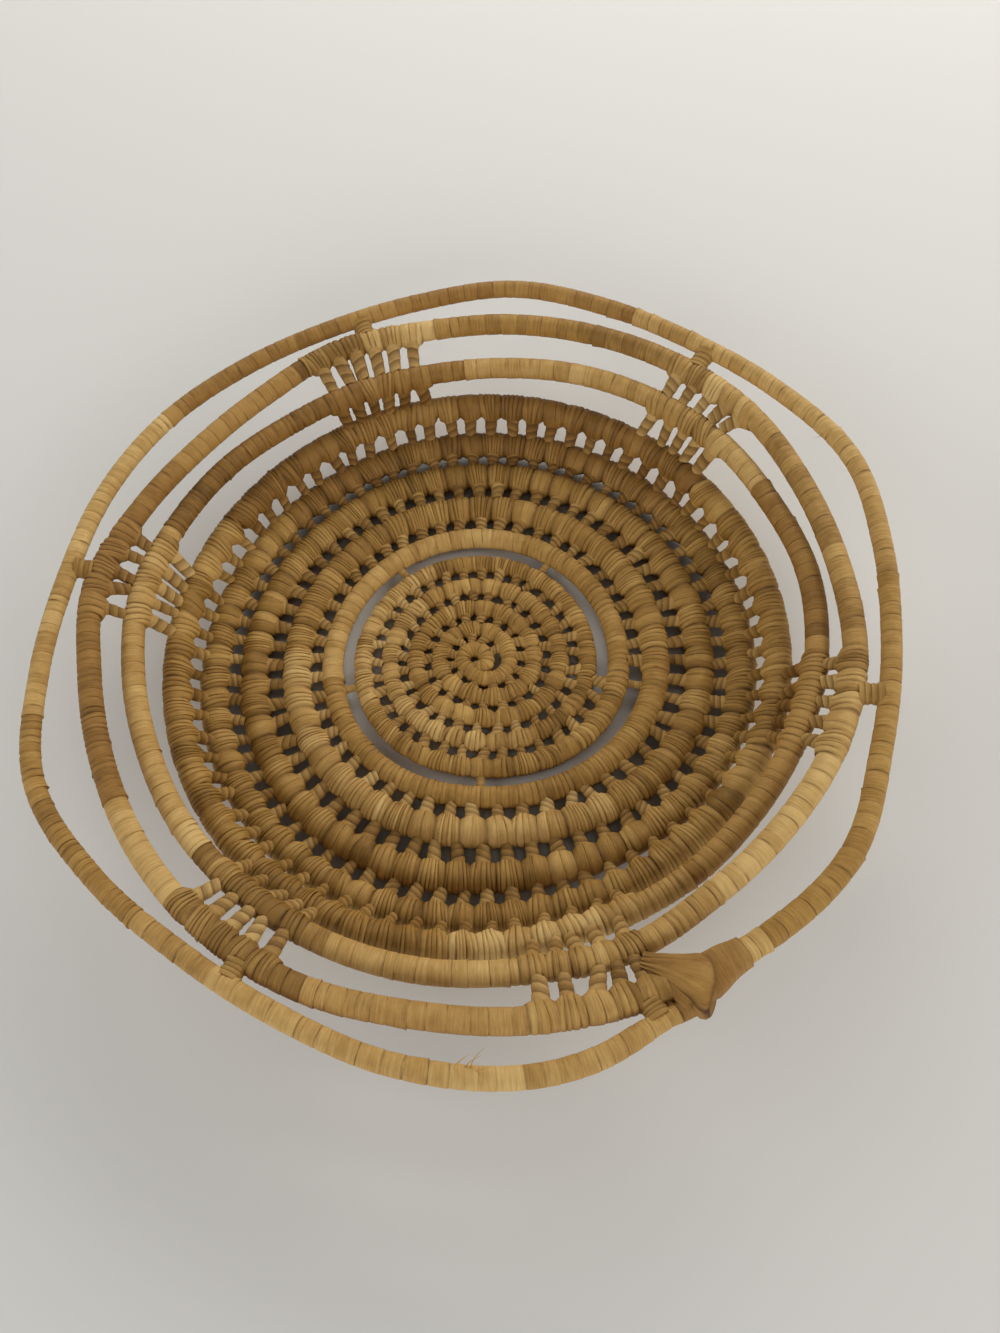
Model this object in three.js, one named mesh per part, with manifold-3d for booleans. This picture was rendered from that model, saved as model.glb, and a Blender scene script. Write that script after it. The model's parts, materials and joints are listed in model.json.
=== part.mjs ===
// Open coiled basket tray: a core of grass stems, coiled from the centre out to the rim and wrapped
// in strips of palm leaf. The strips also sew each row to the row inside it, with open gaps between.
// Millimetres and degrees, +Z up. The origin is the centre of the coil, on the surface that the
// basket stands on. Bearings run counter-clockwise from +X.
import * as THREE from "three";
import { mergeVertices } from "three/addons/utils/BufferGeometryUtils.js";
import Module from "manifold-3d";

const { clamp, degToRad, euclideanModulo, lerp, smoothstep } = THREE.MathUtils;
const wasm = await Module();
wasm.setup();

// Half the width of the wrapped coil.
const MEDALLION_COIL = 3.3;
const BASE_COIL = 5.2;
const HOOP_COIL = 4.2;
const RIM_COIL = 3.5;

// Clear gaps between the rows. In the medallion each gap is wider than the one inside it.
const EYE_GAP = 1.5;
const MEDALLION_GAP = 2.6;
const MEDALLION_SPREAD = 0.6;
const RING_GAP = 4.6;
const BASE_GAP = 5.1;
const BASE_WIDE_GAP = 6.9;
const WALL_GAP = 8.2;
const HOOP_GAP = 9.7;
const RIM_GAP = 3.1;

// Slopes of the way up from a row to the next, in degrees.
const FOOT_SLOPE = 9;
const WALL_SLOPE = 48;
const LOWER_SLOPE = 57;
const UPPER_SLOPE = 22;
const RIM_SLOPE = 16;

// Bearings where a new strip of leaf starts on the upper rows.
const WALL_SPLICES = [27, 92, 143, 214, 257];
const LOWER_SPLICES = [18, 83, 151, 210, 268];
const UPPER_SPLICES = [60, 88, 112, 202, 243];
const RIM_SPLICES = [355, 55, 135, 186, 218];

// Rows of the coil from the centre out.
const medallionGap = (row) => MEDALLION_GAP + (row - 2) * MEDALLION_SPREAD;
const ROWS = [
  { name: "medallion_row_1", width: MEDALLION_COIL, gap: EYE_GAP, slope: 0, splices: [] },
  { name: "medallion_row_2", width: MEDALLION_COIL, gap: medallionGap(2), slope: 0, splices: [] },
  { name: "medallion_row_3", width: MEDALLION_COIL, gap: medallionGap(3), slope: 0, splices: [] },
  { name: "medallion_row_4", width: MEDALLION_COIL, gap: medallionGap(4), slope: 0, splices: [120] },
  { name: "medallion_row_5", width: MEDALLION_COIL, gap: medallionGap(5), slope: 0, splices: [100, 200] },
  { name: "base_row_1", width: HOOP_COIL, gap: RING_GAP, slope: 0, splices: [60, 180] },
  { name: "base_row_2", width: BASE_COIL, gap: BASE_GAP, slope: 0, splices: [40, 170] },
  { name: "base_row_3", width: BASE_COIL, gap: BASE_WIDE_GAP, slope: 0, splices: [20, 140, 220] },
  { name: "wall_row_1", width: BASE_COIL, gap: BASE_GAP, slope: FOOT_SLOPE, splices: [30, 130, 215] },
  { name: "wall_row_2", width: HOOP_COIL, gap: WALL_GAP, slope: WALL_SLOPE, splices: WALL_SPLICES },
  { name: "lower_hoop", width: HOOP_COIL, gap: HOOP_GAP, slope: LOWER_SLOPE, splices: LOWER_SPLICES },
  { name: "upper_hoop", width: HOOP_COIL, gap: HOOP_GAP, slope: UPPER_SLOPE, splices: UPPER_SPLICES },
  { name: "rim_hoop", width: RIM_COIL, gap: RIM_GAP, slope: RIM_SLOPE, splices: RIM_SPLICES },
];

// Bearings of the six places where the hoops are sewn together.
const STATIONS = [37, 101, 162, 228, 278.5, 335];

// How far the coil stands out from its round, at every so many degrees along each hoop from where its
// strips start.
const SWAY_STEP = 15;
const HOOP_SWAY = {
  lower_hoop: [
    0, -1.4, -1.5, -0.1, 1.4, 0.4, 1.4, 0.8, -0.5, -2.9, -4.4, -3.7,
    -3.4, -0.6, 0.8, 2.6, 0.3, -1.3, -1.3, -1.5, -0.7, 0.3, 1.1, 3.3,
  ],
  upper_hoop: [
    -1, -3.9, -5, -5.5, -6.3, -4.8, -1.3, -0.4, -0.8, -1.6, -3, -1.2,
    -5.6, -6.2, -3, 1.2, -2.7, -3.7, -2.9, -2.2, -1.6, -2.4, -0.1, 2.7,
  ],
  rim_hoop: [
    4.7, 4.9, -2.8, -4.4, -0.2, 5.9, 2.9, 0.7, 2.5, 5.4, 0.7, -1.6,
    -0.2, 2.5, 2.5, 1.2, 4.2, 8.9, 2.9, -2.3, -2, 2.4, 5.3, 2.6,
  ],
};

// Each row climbs out to the next over so many degrees, fewer on the outer rows, and is there at
// one bearing.
const CLIMB_INNER = 120;
const CLIMB_OUTER = 65;
const CLIMB_END = 345;
// A row of strips starts at this bearing.
const ROW_START = 300;

// Leaf and core.
const LEAF = 0.7;
const CLEAR = 0.3;
const CUT_PAST = 1;
const COIL_SIDES = 8;
const CORE_SIDES = 4;
const FACET = 0.8;

// Stitches: even seams in the medallion and in the base and wall, given in turns of the coil, and
// bunches on the lower and upper hoops, with so many stitches at each station.
const NECK_WIDTH = 3.6;
const NECK_DEPTH = 4.4;
const MEDALLION_SEAM = { from: 1.05, to: 5, pitch: 8.2 };
const BODY_SEAM = { from: 6, to: 9.85, pitch: 9.5 };
const BUNCH_COUNTS = [5, 6, 5, 5, 5, 5];
const BUNCH_PITCH = 3.4;
const BUNCHED_HOOPS = [10, 11];

// Ties across the open ring and from the upper hoop to the rim hoop.
const MEDALLION_TIES = { row: 5, rowEnds: 300, bearings: [47, 118, 185, 264, 340], width: 3.6, neck: 1.5 };
const RIM_TIES = { row: 12, rowEnds: 360, bearings: [42, 100, 163, 232, 284.5, 337], width: 4.2, neck: 2.0 };
const TIE_SKIN = 0.8;
const TIE_SHORTEST = 0.2;
const TIE_BEND = 53;

// The coil ends so many degrees short of a full row. The knot that binds its end reaches back from
// there and ahead, in degrees. Its leaf is thinner where it is drawn down.
const END_SHORT = 7.5;
const KNOT_BACK = 3.7;
const KNOT_AHEAD = 5.5;
const KNOT_SKIN = 1.7;
const KNOT_EDGE = 0.6;
const TAIL_PAST = 20;
const KNOT_RINGS = 6;
const KNOT_SIDES = 12;

const CORE_COLOUR = 0xd9c48c;
const TIE_COLOUR = 0xa8814a;
const KNOT_COLOUR = 0x8a5f30;
const LEAF_COLOURS = [0xc9a566, 0xb08a4d, 0xd6b87a, 0x9c7439, 0xbf9a5c];

const UP = new THREE.Vector3(0, 0, 1);
const LAST_ROW = ROWS.length - 1;
const FLAT = Math.cos(Math.PI / COIL_SIDES);
const part = new THREE.Group();
part.name = "open_coiled_basket";

// Where each row runs: every row is stacked outside the row before it.
const rows = [];
for (const row of ROWS) {
  const inside = rows.at(-1);
  const pitch = row.gap + row.width + (inside ? inside.width : 0);
  const slope = degToRad(row.slope);
  const radius = (inside ? inside.radius : 0) + pitch * Math.cos(slope);
  const height = row.slope ? inside.height + pitch * Math.sin(slope) : row.width;
  const climb = lerp(CLIMB_INNER, CLIMB_OUTER, rows.length / LAST_ROW) / 360;
  rows.push({ ...row, radius, height, climb });
}

// Turns of the coil at a bearing on a row, counted from the end of the first climb.
function turnAt(row, bearing) {
  return row + (euclideanModulo(bearing - ROW_START, 360) - (CLIMB_END - ROW_START)) / 360;
}
const COIL_END = ROW_START - END_SHORT;
const FIRST_TURN = 0;
const LAST_TURN = turnAt(LAST_ROW, COIL_END);

// The sway of the coil: a smooth curve through the named values, and none before the hoops.
const SWAYS = Object.values(HOOP_SWAY).flat();
const FIRST_SWAY = turnAt(ROWS.findIndex((row) => row.name in HOOP_SWAY), ROW_START);
function swayAt(turn) {
  const place = ((turn - FIRST_SWAY) * 360) / SWAY_STEP;
  const i = Math.floor(place);
  const x = place - i;
  const [a, b, c, d] = [-1, 0, 1, 2].map((k) => SWAYS[clamp(i + k, 0, SWAYS.length - 1)]);
  return b + (x / 2) * (c - a + x * (2 * a - 5 * b + 4 * c - d + x * (3 * (b - c) + d - a)));
}

// The middle of the coil, and half its width, after a number of turns.
function coilAt(turn) {
  const k = clamp(Math.floor(turn), 0, LAST_ROW);
  const row = rows[k];
  const next = rows[Math.min(k + 1, LAST_ROW)];
  const bearing = CLIMB_END + 360 * turn;
  const climbed = smoothstep(turn, k + 1 - next.climb, k + 1);
  const radius = lerp(row.radius, next.radius, climbed) + swayAt(turn);
  const angle = degToRad(bearing);
  const height = lerp(row.height, next.height, climbed);
  return {
    centre: new THREE.Vector3(radius * Math.cos(angle), radius * Math.sin(angle), height),
    width: lerp(row.width, next.width, climbed),
    radius,
  };
}

// Facets of the coil: the same places serve the core, the strips and all that fits round them.
const grid = [];
for (let k = 0; k <= LAST_ROW; k += 1) {
  const steps = Math.max(16, Math.ceil(Math.PI / Math.acos(1 - FACET / rows[k].radius)));
  for (let i = 0; i < steps && k + i / steps < LAST_TURN - 0.005; i += 1) {
    grid.push(k + i / steps);
  }
}
grid.push(LAST_TURN);
const spots = grid.map((turn) => {
  const back = coilAt(Math.max(turn - 0.004, FIRST_TURN)).centre;
  const ahead = coilAt(Math.min(turn + 0.004, LAST_TURN)).centre;
  const side = ahead.sub(back).setZ(0).normalize().cross(UP);
  return { ...coilAt(turn), side };
});

// Length along the coil, as turns at a place on it.
function turnsFor(length, turn) {
  return length / (2 * Math.PI * coilAt(turn).radius);
}

// A place on the faceted coil, between two of its spots.
function spotAt(turn) {
  const i = clamp(grid.findLastIndex((t) => t <= turn), 0, grid.length - 2);
  const share = (turn - grid[i]) / (grid[i + 1] - grid[i]);
  return { share, from: spots[i], to: spots[i + 1], turns: grid[i + 1] - grid[i] };
}
function centreAt(turn) {
  const { share, from, to } = spotAt(turn);
  return from.centre.clone().lerp(to.centre, share);
}
function widthAt(turn) {
  const { share, from, to } = spotAt(turn);
  return lerp(from.width, to.width, share);
}

// A ring of points round the coil, flat below and above. sizeOf gives its reach from half the width.
function ringAt(turn, sides, sizeOf) {
  const { share, from, to } = spotAt(turn);
  const corner = (spot, angle) => {
    const reach = sizeOf(spot.width);
    const out = spot.side.clone().multiplyScalar(reach * Math.cos(angle));
    return out.addScaledVector(UP, reach * Math.sin(angle)).add(spot.centre);
  };
  const first = (sides / 4 + 0.5) % 1;
  return Array.from({ length: sides }, (_, j) => {
    const angle = (2 * Math.PI * (j + first)) / sides;
    return corner(from, angle).lerp(corner(to, angle), share);
  });
}

// A closed skin over rings of points, one after the other.
function skin(rings) {
  const sides = rings[0].length;
  const faces = [];
  for (let i = 0; i + 1 < rings.length; i += 1) {
    for (let j = 0; j < sides; j += 1) {
      const a = i * sides + j;
      const b = i * sides + ((j + 1) % sides);
      faces.push(a, b + sides, b, a, a + sides, b + sides);
    }
  }
  const end = (rings.length - 1) * sides;
  for (let j = 1; j + 1 < sides; j += 1) {
    faces.push(0, j, j + 1, end, end + j + 1, end + j);
  }
  const geometry = new THREE.BufferGeometry().setFromPoints(rings.flat());
  geometry.setIndex(faces);
  return geometry;
}
function tube(from, to, sides, sizeOf) {
  const between = grid.filter((t) => t > from + 1e-6 && t < to - 1e-6);
  return skin([from, ...between, to].map((turn) => ringAt(turn, sides, sizeOf)));
}

// Reaches of the rings: the leaf's outside, the bore in it, the core, and room round the leaf.
const leafSize = (width) => width / FLAT;
const boreSize = (width) => width - LEAF;
const coreSize = (width) => boreSize(width) - CLEAR * Math.SQRT2;
const roomSize = (width) => (width + CLEAR) / FLAT;

// Solids for joining and cutting.
function solid(geometry) {
  const bare = new THREE.BufferGeometry();
  bare.setAttribute("position", geometry.getAttribute("position"));
  bare.setIndex(geometry.getIndex());
  const merged = mergeVertices(bare, 1e-4);
  return new wasm.Manifold(
    new wasm.Mesh({
      numProp: 3,
      vertProperties: Float32Array.from(merged.getAttribute("position").array),
      triVerts: Uint32Array.from(merged.getIndex().array),
    }),
  );
}
function addPart(name, shape, colour) {
  const mesh = shape.getMesh();
  const geometry = new THREE.BufferGeometry();
  geometry.setAttribute("position", new THREE.BufferAttribute(mesh.vertProperties, 3));
  geometry.setIndex(new THREE.BufferAttribute(mesh.triVerts, 1));
  geometry.computeVertexNormals();
  const material = new THREE.MeshStandardMaterial({ color: colour, roughness: 0.8 });
  const node = new THREE.Mesh(geometry, material);
  node.name = name;
  part.add(node);
}

// The place on the row inside that lies nearest to a place on the coil.
function insideOf(turn) {
  let inside = turn - 1;
  for (let i = 0; i < 4; i += 1) {
    const { from, to, turns } = spotAt(inside);
    const facet = to.centre.clone().sub(from.centre);
    const ahead = centreAt(turn).sub(centreAt(inside)).dot(facet) / facet.lengthSq();
    inside += (ahead * turns * from.radius) / coilAt(turn).radius;
  }
  return inside;
}

// Axes of a link from the row inside to the coil: along it, across it, and along the coil.
function linkAxes(turn) {
  const start = centreAt(insideOf(turn));
  const along = centreAt(turn).sub(start);
  const length = along.length();
  along.normalize();
  const coilwise = UP.clone().cross(along).normalize();
  const across = coilwise.clone().cross(along);
  return { start, length, along, across, coilwise };
}

// One stitch: a strand from inside the leaf of its own row, where it lies along the coil, to just
// short of the row inside, where it stands across it.
function stitch(turn) {
  const { start, length, along, across, coilwise } = linkAxes(turn);
  const from = roomSize(widthAt(insideOf(turn)));
  const to = length - boreSize(widthAt(turn)) - LEAF / 2;
  const neck = new THREE.TetrahedronGeometry(Math.sqrt(3)).rotateZ(Math.PI / 4);
  neck.scale(NECK_DEPTH / (2 * Math.SQRT2), NECK_WIDTH / (2 * Math.SQRT2), (to - from) / 2);
  const place = new THREE.Matrix4().makeBasis(across, coilwise, along).setPosition(start);
  return solid(neck.translate(0, 0, (from + to) / 2).applyMatrix4(place));
}

// Places of all the stitches. None is left under the knot.
function seam({ from, to, pitch }) {
  const places = [];
  for (let t = from + turnsFor(pitch / 2, from); t < to; t += turnsFor(pitch, t)) {
    places.push(t);
  }
  return places;
}
function bunch(row, i) {
  const middle = (BUNCH_COUNTS[i] - 1) / 2;
  const offsets = Array.from({ length: BUNCH_COUNTS[i] }, (_, j) => j - middle);
  return offsets.map((offset) => turnAt(row, STATIONS[i]) + (offset * BUNCH_PITCH) / 360);
}
const knotFrom = turnAt(LAST_ROW - 1, COIL_END - KNOT_BACK);
const knotTo = turnAt(LAST_ROW - 1, COIL_END + KNOT_AHEAD);
const underKnot = (t) => t > knotFrom - turnsFor(NECK_WIDTH, t) && t < knotTo + turnsFor(NECK_WIDTH, t);
const bunches = BUNCHED_HOOPS.flatMap((row) => STATIONS.flatMap((_, i) => bunch(row, i)));
const stitchTurns = [...seam(MEDALLION_SEAM), ...seam(BODY_SEAM), ...bunches]
  .filter((t) => !underKnot(t))
  .sort((a, b) => a - b);

// A splice keeps clear of the stitches on either side of it.
function clearOfStitches(turn) {
  const before = stitchTurns.findLast((t) => t <= turn) ?? FIRST_TURN;
  const after = stitchTurns.find((t) => t > turn) ?? LAST_TURN;
  const room = Math.min((after - before) / 2, turnsFor(NECK_WIDTH, turn));
  return clamp(turn, before + room, after - room);
}

// The core: one unbroken coil.
addPart("core_coil", solid(tube(FIRST_TURN, LAST_TURN, CORE_SIDES, coreSize)), CORE_COLOUR);

// The strips of leaf, row by row, each with its own stitches.
rows.forEach((row, k) => {
  const starts = [ROW_START, ...row.splices].map((bearing) => clearOfStitches(turnAt(k, bearing)));
  starts.push(clearOfStitches(turnAt(k + 1, ROW_START)));
  for (let i = 0; i + 1 < starts.length; i += 1) {
    const half = turnsFor(CLEAR / 2, starts[i + 1]);
    const from = Math.max(starts[i] + half, FIRST_TURN);
    const to = Math.min(starts[i + 1] - half, LAST_TURN);
    const past = turnsFor(CUT_PAST, to);
    let strip = solid(tube(from, to, COIL_SIDES, leafSize));
    strip = strip.subtract(solid(tube(from - past, to + past, CORE_SIDES, boreSize)));
    for (const turn of stitchTurns.filter((t) => t > from && t < to)) {
      strip = strip.add(stitch(turn));
    }
    addPart(`${row.name}_strip_${i + 1}`, strip, LEAF_COLOURS[(i + k) % LEAF_COLOURS.length]);
  }
});

// Ties: a short neck that widens into a saddle on each of the two rows, no lower than the rows.
function tie(name, turn, { width, neck }) {
  const { start, length, along, across, coilwise } = linkAxes(turn);
  const inside = insideOf(turn);
  const inner = roomSize(widthAt(inside)) + TIE_SKIN;
  const outer = roomSize(widthAt(turn)) + TIE_SKIN;
  const neckFrom = Math.min(Math.sqrt(inner ** 2 - neck ** 2), (length - TIE_SHORTEST) / 2);
  const neckTo = Math.max(length - Math.sqrt(outer ** 2 - neck ** 2), (length + TIE_SHORTEST) / 2);
  const bend = degToRad(TIE_BEND);
  const edge = [
    [0, inner],
    [inner * Math.cos(bend), inner * Math.sin(bend)],
    [neckFrom, neck],
    [neckTo, neck],
    [length - outer * Math.cos(bend), outer * Math.sin(bend)],
    [length, outer],
  ];
  const floor = Math.min(start.z, centreAt(turn).z);
  const below = edge.map(([x, y]) => [x, Math.min(y, floor)]);
  const points = [...below, ...edge.map(([x, y]) => [x, -y]).reverse()];
  const outline = new THREE.Shape(points.map(([x, y]) => new THREE.Vector2(x, y)));
  const block = new THREE.ExtrudeGeometry(outline, { depth: width, bevelEnabled: false });
  const place = new THREE.Matrix4().makeBasis(along, across, coilwise).setPosition(start);
  let shape = solid(block.translate(0, 0, -width / 2).applyMatrix4(place));
  for (const held of [inside, turn]) {
    const reach = turnsFor(width, held);
    shape = shape.subtract(solid(tube(held - reach, held + reach, COIL_SIDES, roomSize)));
  }
  addPart(name, shape, TIE_COLOUR);
}
for (const [name, ties] of Object.entries({ medallion_tie: MEDALLION_TIES, rim_tie: RIM_TIES })) {
  ties.bearings.forEach((bearing, i) => {
    tie(`${name}_${i + 1}`, turnAt(bearing < ties.rowEnds ? ties.row : ties.row + 1, bearing), ties);
  });
}

// The end knot: leaf wound round both coils, then drawn down on to the one that runs on.
function knotRing(share) {
  const turn = lerp(knotFrom, knotTo, share);
  const inner = centreAt(turn);
  const outer = centreAt(Math.min(turn + 1, LAST_TURN + turnsFor(TAIL_PAST, LAST_TURN)));
  const out = outer.clone().sub(inner).normalize();
  const along = UP.clone().cross(out).normalize();
  const across = out.clone().cross(along);
  const drawn = smoothstep(turn, LAST_TURN - 1, knotTo);
  const far = outer.lerp(inner, drawn);
  const grip = lerp(KNOT_SKIN, KNOT_EDGE, drawn);
  return Array.from({ length: KNOT_SIDES }, (_, i) => {
    const angle = (2 * Math.PI * (i + 0.5)) / KNOT_SIDES;
    const isOuter = Math.cos(angle) > 0;
    const reach = grip + roomSize(isOuter ? lerp(widthAt(LAST_TURN), widthAt(turn), drawn) : widthAt(turn));
    const point = (isOuter ? far : inner).clone().addScaledVector(out, reach * Math.cos(angle));
    return point.addScaledVector(across, reach * Math.sin(angle));
  });
}
const past = turnsFor(CUT_PAST, knotTo);
const knotShares = Array.from({ length: KNOT_RINGS }, (_, i) => i / (KNOT_RINGS - 1));
let knot = solid(skin(knotShares.map(knotRing)));
knot = knot.subtract(solid(tube(knotFrom - past, knotTo + past, COIL_SIDES, roomSize)));
const tailEnd = LAST_TURN + turnsFor(CLEAR, LAST_TURN);
knot = knot.subtract(solid(tube(knotFrom + 1 - past, tailEnd, COIL_SIDES, roomSize)));
addPart("end_knot", knot, KNOT_COLOUR);

// The least gap of the core to itself, on points along it.
const POINTS = 1800;
const points = Array.from({ length: POINTS }, (_, i) => lerp(FIRST_TURN, LAST_TURN, i / (POINTS - 1)));
const measured = points.map((turn) => ({ turn, ...coilAt(turn) }));
let leastGap = Infinity;
for (const a of measured) {
  for (const b of measured) {
    if (b.turn - a.turn > 0.5) {
      const gap = a.centre.distanceTo(b.centre) - coreSize(a.width) - coreSize(b.width);
      leastGap = Math.min(leastGap, gap);
    }
  }
}
console.log(`core_coil: least gap to itself ${leastGap.toFixed(2)} mm`);

export default part;
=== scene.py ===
import json
import math
import random

import bmesh
import bpy
import numpy as np
from mathutils import Matrix, Vector


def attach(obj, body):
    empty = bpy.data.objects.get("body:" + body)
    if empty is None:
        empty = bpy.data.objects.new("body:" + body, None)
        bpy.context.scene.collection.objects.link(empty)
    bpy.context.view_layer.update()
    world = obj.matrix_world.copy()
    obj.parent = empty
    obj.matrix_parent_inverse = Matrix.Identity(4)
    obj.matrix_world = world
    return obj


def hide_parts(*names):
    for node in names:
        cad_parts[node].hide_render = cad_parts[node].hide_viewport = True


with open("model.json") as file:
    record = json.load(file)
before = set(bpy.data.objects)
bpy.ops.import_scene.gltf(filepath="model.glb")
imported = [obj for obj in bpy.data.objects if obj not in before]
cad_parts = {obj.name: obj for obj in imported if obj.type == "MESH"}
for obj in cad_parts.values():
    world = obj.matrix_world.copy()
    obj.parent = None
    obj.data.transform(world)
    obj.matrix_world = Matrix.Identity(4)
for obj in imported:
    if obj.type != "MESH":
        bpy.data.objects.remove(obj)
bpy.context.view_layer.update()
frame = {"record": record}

MM = 0.001
SLOT_OF = {row["node"]: row["material_slot"] for row in frame["record"]["subparts"]}

# Lengths are in millimetres and bearings in degrees, until a mesh is built in metres.

# The coil, row by row from the centre: half the width of the wrapped coil, the clear gap to the row
# inside, the slope of the way up from it, and the bearings where a new strip of leaf starts.
ROWS = [
    ("medallion_row_1", 3.3, 1.5, 0, []),
    ("medallion_row_2", 3.3, 2.6, 0, []),
    ("medallion_row_3", 3.3, 3.2, 0, []),
    ("medallion_row_4", 3.3, 3.8, 0, [120]),
    ("medallion_row_5", 3.3, 4.4, 0, [100, 200]),
    ("base_row_1", 4.2, 4.6, 0, [60, 180]),
    ("base_row_2", 5.2, 5.1, 0, [40, 170]),
    ("base_row_3", 5.2, 6.9, 0, [20, 140, 220]),
    ("wall_row_1", 5.2, 5.1, 9, [30, 130, 215]),
    ("wall_row_2", 4.2, 8.2, 48, [27, 92, 143, 214, 257]),
    ("lower_hoop", 4.2, 9.7, 57, [18, 83, 151, 210, 268]),
    ("upper_hoop", 4.2, 9.7, 22, [60, 88, 112, 202, 243]),
    ("rim_hoop", 3.5, 3.1, 16, [355, 55, 135, 186, 218]),
]
LAST_ROW = len(ROWS) - 1
FIRST_HOOP = LAST_ROW - 2
# How far the coil stands out from its round, at every so many degrees along the lower hoop, the upper
# hoop and the rim hoop, from where the strips of the first start.
SWAY_STEP = 15
HOOP_SWAY = [
    0, -1.4, -1.5, -0.1, 1.4, 0.4, 1.4, 0.8, -0.5, -2.9, -4.4, -3.7,
    -3.4, -0.6, 0.8, 2.6, 0.3, -1.3, -1.3, -1.5, -0.7, 0.3, 1.1, 3.3,
    -1, -3.9, -5, -5.5, -6.3, -4.8, -1.3, -0.4, -0.8, -1.6, -3, -1.2,
    -5.6, -6.2, -3, 1.2, -2.7, -3.7, -2.9, -2.2, -1.6, -2.4, -0.1, 2.7,
    4.7, 4.9, -2.8, -4.4, -0.2, 5.9, 2.9, 0.7, 2.5, 5.4, 0.7, -1.6,
    -0.2, 2.5, 2.5, 1.2, 4.2, 8.9, 2.9, -2.3, -2, 2.4, 5.3, 2.6,
]
# Degrees in which the coil climbs from one row to the next, at the centre and at the rim.
CLIMB_INNER, CLIMB_OUTER = 120, 65
# Bearings where a climb ends, where the strips of a row start, where the coil ends, and between which
# the knot hides the hoop inside the rim.
CLIMB_END = 345
ROW_START = 300
COIL_END = 292.5
KNOT_FROM, KNOT_TO = 288.8, 298
# Length of row that a stitch needs to itself.
NECK_WIDTH = 3.6
# Seams: the turns where they start and end, and the distance from stitch to stitch.
MEDALLION_SEAM = (1.05, 5, 8.2)
BODY_SEAM = (6, 9.85, 9.5)
# Bunches of stitches on two of the hoops: their bearings, the stitches in each, and the degrees from
# stitch to stitch.
BUNCHED_HOOPS = (10, 11)
STATIONS = [37, 101, 162, 228, 278.5, 335]
BUNCH_COUNTS = [5, 6, 5, 5, 5, 5]
BUNCH_PITCH = 3.4
# Ties across the open ring, and from the upper hoop to the rim: the row that they join to the row inside
# it, half their width at the middle, and their bearings.
TIES = [
    ("medallion_tie", 5, 1.6, [47, 118, 185, 264, 340]),
    ("rim_tie", 12, 3.9, [42, 100, 163, 232, 284.5, 337]),
]
# Starts of the random numbers: steps from row to row of strips, first and steps of ties, and the knot.
STRIP_SEEDS, TIE_SEED, TIE_SEEDS, KNOT_SEED = 100, 7000, 50, 555

# How each row is wrapped: width of a plain wrap, width of a pleat in a bead, depth of the crease
# between beads, how far the pleats are drawn together towards the stitch, half the width of the neck
# that they run into, how far the leaf is pulled towards the row inside, and how far it runs up the neck.
WRAPPING = [
    (1.8, 1.8, 0.3, 0.15, 1.8, 0.2, 0.4),
    (1.6, 1.5, 0.5, 0.18, 1.85, 0.3, 0.4),
    (1.6, 1.5, 0.5, 0.18, 1.9, 0.4, 0.4),
    (1.6, 1.5, 0.5, 0.18, 1.9, 0.5, 0.4),
    (1.4, 1.4, 0.3, 0.15, 1.9, 0.5, 0.4),
    (2.4, 2.0, 0.3, 0.2, 2.1, 0.3, 0.4),
    (1.9, 1.6, 0.5, 0.2, 2.35, 0.5, 0.5),
    (1.9, 1.7, 0.55, 0.2, 2.45, 0.7, 0.5),
    (1.9, 1.6, 0.5, 0.2, 2.35, 0.5, 0.5),
    (2.4, 1.8, 0.22, 0.28, 2.4, 1.6, 1.1),
    (5.4, 2.0, 0.2, 0.25, 2.5, 0.8, 0.9),
    (5.6, 2.0, 0.2, 0.25, 2.6, 0.8, 0.9),
    (5.6, 3.0, 0.2, 0.2, 2.1, 0, 0),
]
NECK_COLUMN = 4
# Widths of the pleats of a bead, in parts of the row's: most are gathered finely, some lie smooth.
GATHERS = (0.9, 1.0, 1.2, 1.5, 2.4)
# Stretches that are wrapped more finely or more widely: row, bearings, width of a wrap.
WRAP_PATCHES = [
    (12, 195, 229, 3.3), (12, 40, 77, 4.2), (12, 100, 135, 4.0), (12, 160, 195, 4.2),
    (11, 98, 116, 3.0), (11, 148, 202, 3.0), (11, 216, 240, 2.6), (11, 330, 350, 3.2),
    (10, 112, 151, 3.4), (10, 210, 240, 2.6), (10, 268, 300, 3.4), (10, 300, 345, 4.2),
    (5, 60, 205, 4.4),
]
# Tones of leaf that differ from the rest of their strip: row, bearings, and how much lighter.
TONE_PATCHES = [
    (12, 5, 20, 0.22), (12, 55, 92, 0.2), (12, 92, 103, 0.45), (11, 0, 34, -0.25), (11, 38, 60, -0.25),
    (12, 132, 136, 0.5), (12, 136, 160, 0.22), (12, 230, 268, 0.2),
    (12, 200, 229, -0.1), (11, 34, 38, 0.4), (11, 86, 91, 0.55), (11, 98, 112, -0.3),
    (11, 112, 140, 0.4), (11, 203, 218, 0.2), (11, 218, 240, -0.4), (11, 293, 335, 0.22),
    (11, 335, 350, -0.2), (10, 17, 28, 0.25), (10, 209, 215, 0.5), (10, 215, 240, -0.5),
    # The patch on row 11 from 282.5 to 288 darkens the bead beside the knot: partly darker leaf, partly
    # painted shade from the knot.
    (10, 110, 150, -0.15), (10, 50, 90, 0.1), (11, 282.5, 288, -0.45), (10, 300, 345, 0.42),
    (9, 143, 156, 0.3), (9, 110, 142, -0.2), (9, 90, 110, 0.15), (9, 258, 283, 0.25),
]
# Shape of a wrap, of a pleat and of a narrow pleat: how far along, and how high in parts of its rise.
# A wrap is wider than the first width, a narrow pleat no wider than the second.
FOLDS = [
    ((0, -0.5), (0.08, 0), (0.5, 0.15), (0.91, 0.3), (1, -0.15)),
    ((0, -0.6), (0.35, 0.3), (0.75, 0.4), (1, -0.2)),
    ((0, -0.5), (0.5, 0.4), (1, -0.2)),
]
FOLD_WIDTHS = (3.2, 0.9)
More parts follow.
